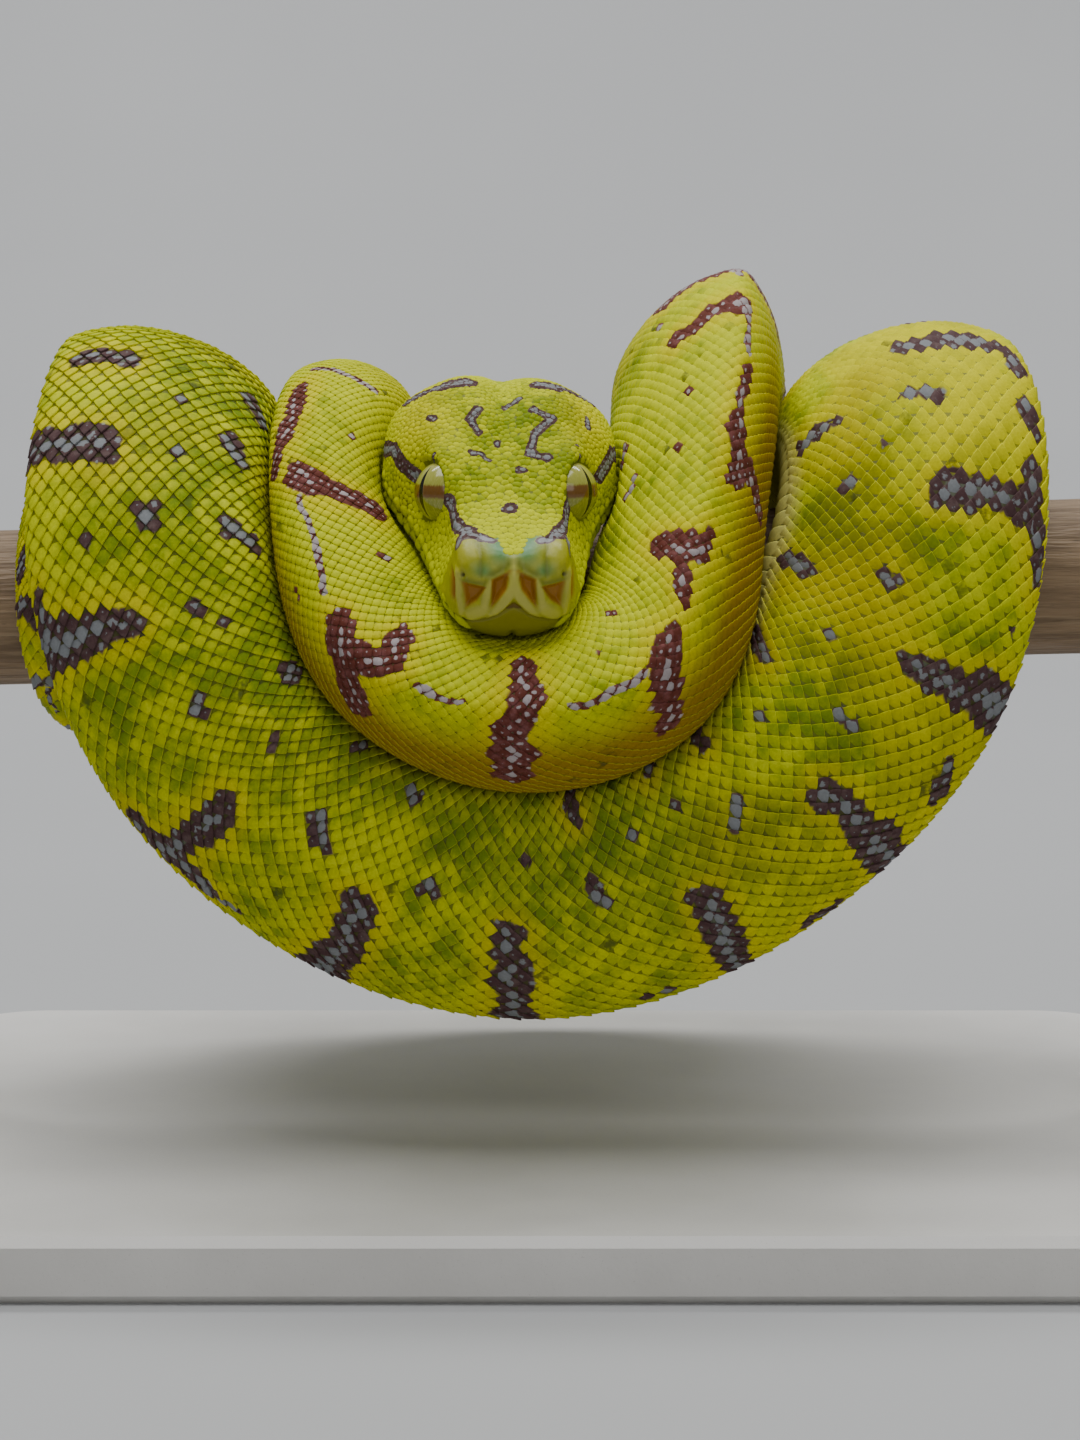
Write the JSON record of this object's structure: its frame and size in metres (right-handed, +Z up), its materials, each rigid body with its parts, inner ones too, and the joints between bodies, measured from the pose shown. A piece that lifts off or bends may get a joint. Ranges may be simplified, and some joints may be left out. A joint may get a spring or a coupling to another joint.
{
  "type": "coiled green tree python model",
  "caption": "Still, life-size model of a young green tree python coiled over a cut wooden perch with its head resting in the coils, on a plain display stand.",
  "frame": {"origin": "centre of the bounding box on the underside of the stand's base", "axes": "+Z up, +X along the perch to the animal's left, -Y is the way the animal faces"},
  "size_m": [0.156, 0.104, 0.1046],
  "materials": {
    "skin": "satin scales, yellow-green with purple-brown bars and pale flecks",
    "eye": "glossy, pale yellow-green with a brown band and a vertical slit",
    "perch_wood": "weathered bare wood, matt",
    "base": "plain pale satin",
    "rod": "brushed"
  },
  "bodies": {
    "root": {"head": "skin", "lower_jaw": "skin", "neck_front": "skin", "neck_bend": "skin", "trunk_01": "skin", "trunk_02": "skin", "trunk_03": "skin", "trunk_04": "skin", "trunk_05": "skin", "trunk_06": "skin", "trunk_07": "skin", "trunk_08": "skin", "trunk_09": "skin", "trunk_10": "skin", "trunk_11": "skin", "trunk_12": "skin", "trunk_13": "skin", "trunk_14": "skin", "trunk_15": "skin", "tail_base": "skin", "tail_middle": "skin", "tail_tip": "skin", "eye_left": "eye", "eye_right": "eye", "perch": "perch_wood", "stand_base": "base", "stand_rod_left": "rod", "stand_rod_right": "rod"}
  },
  "joints": []
}
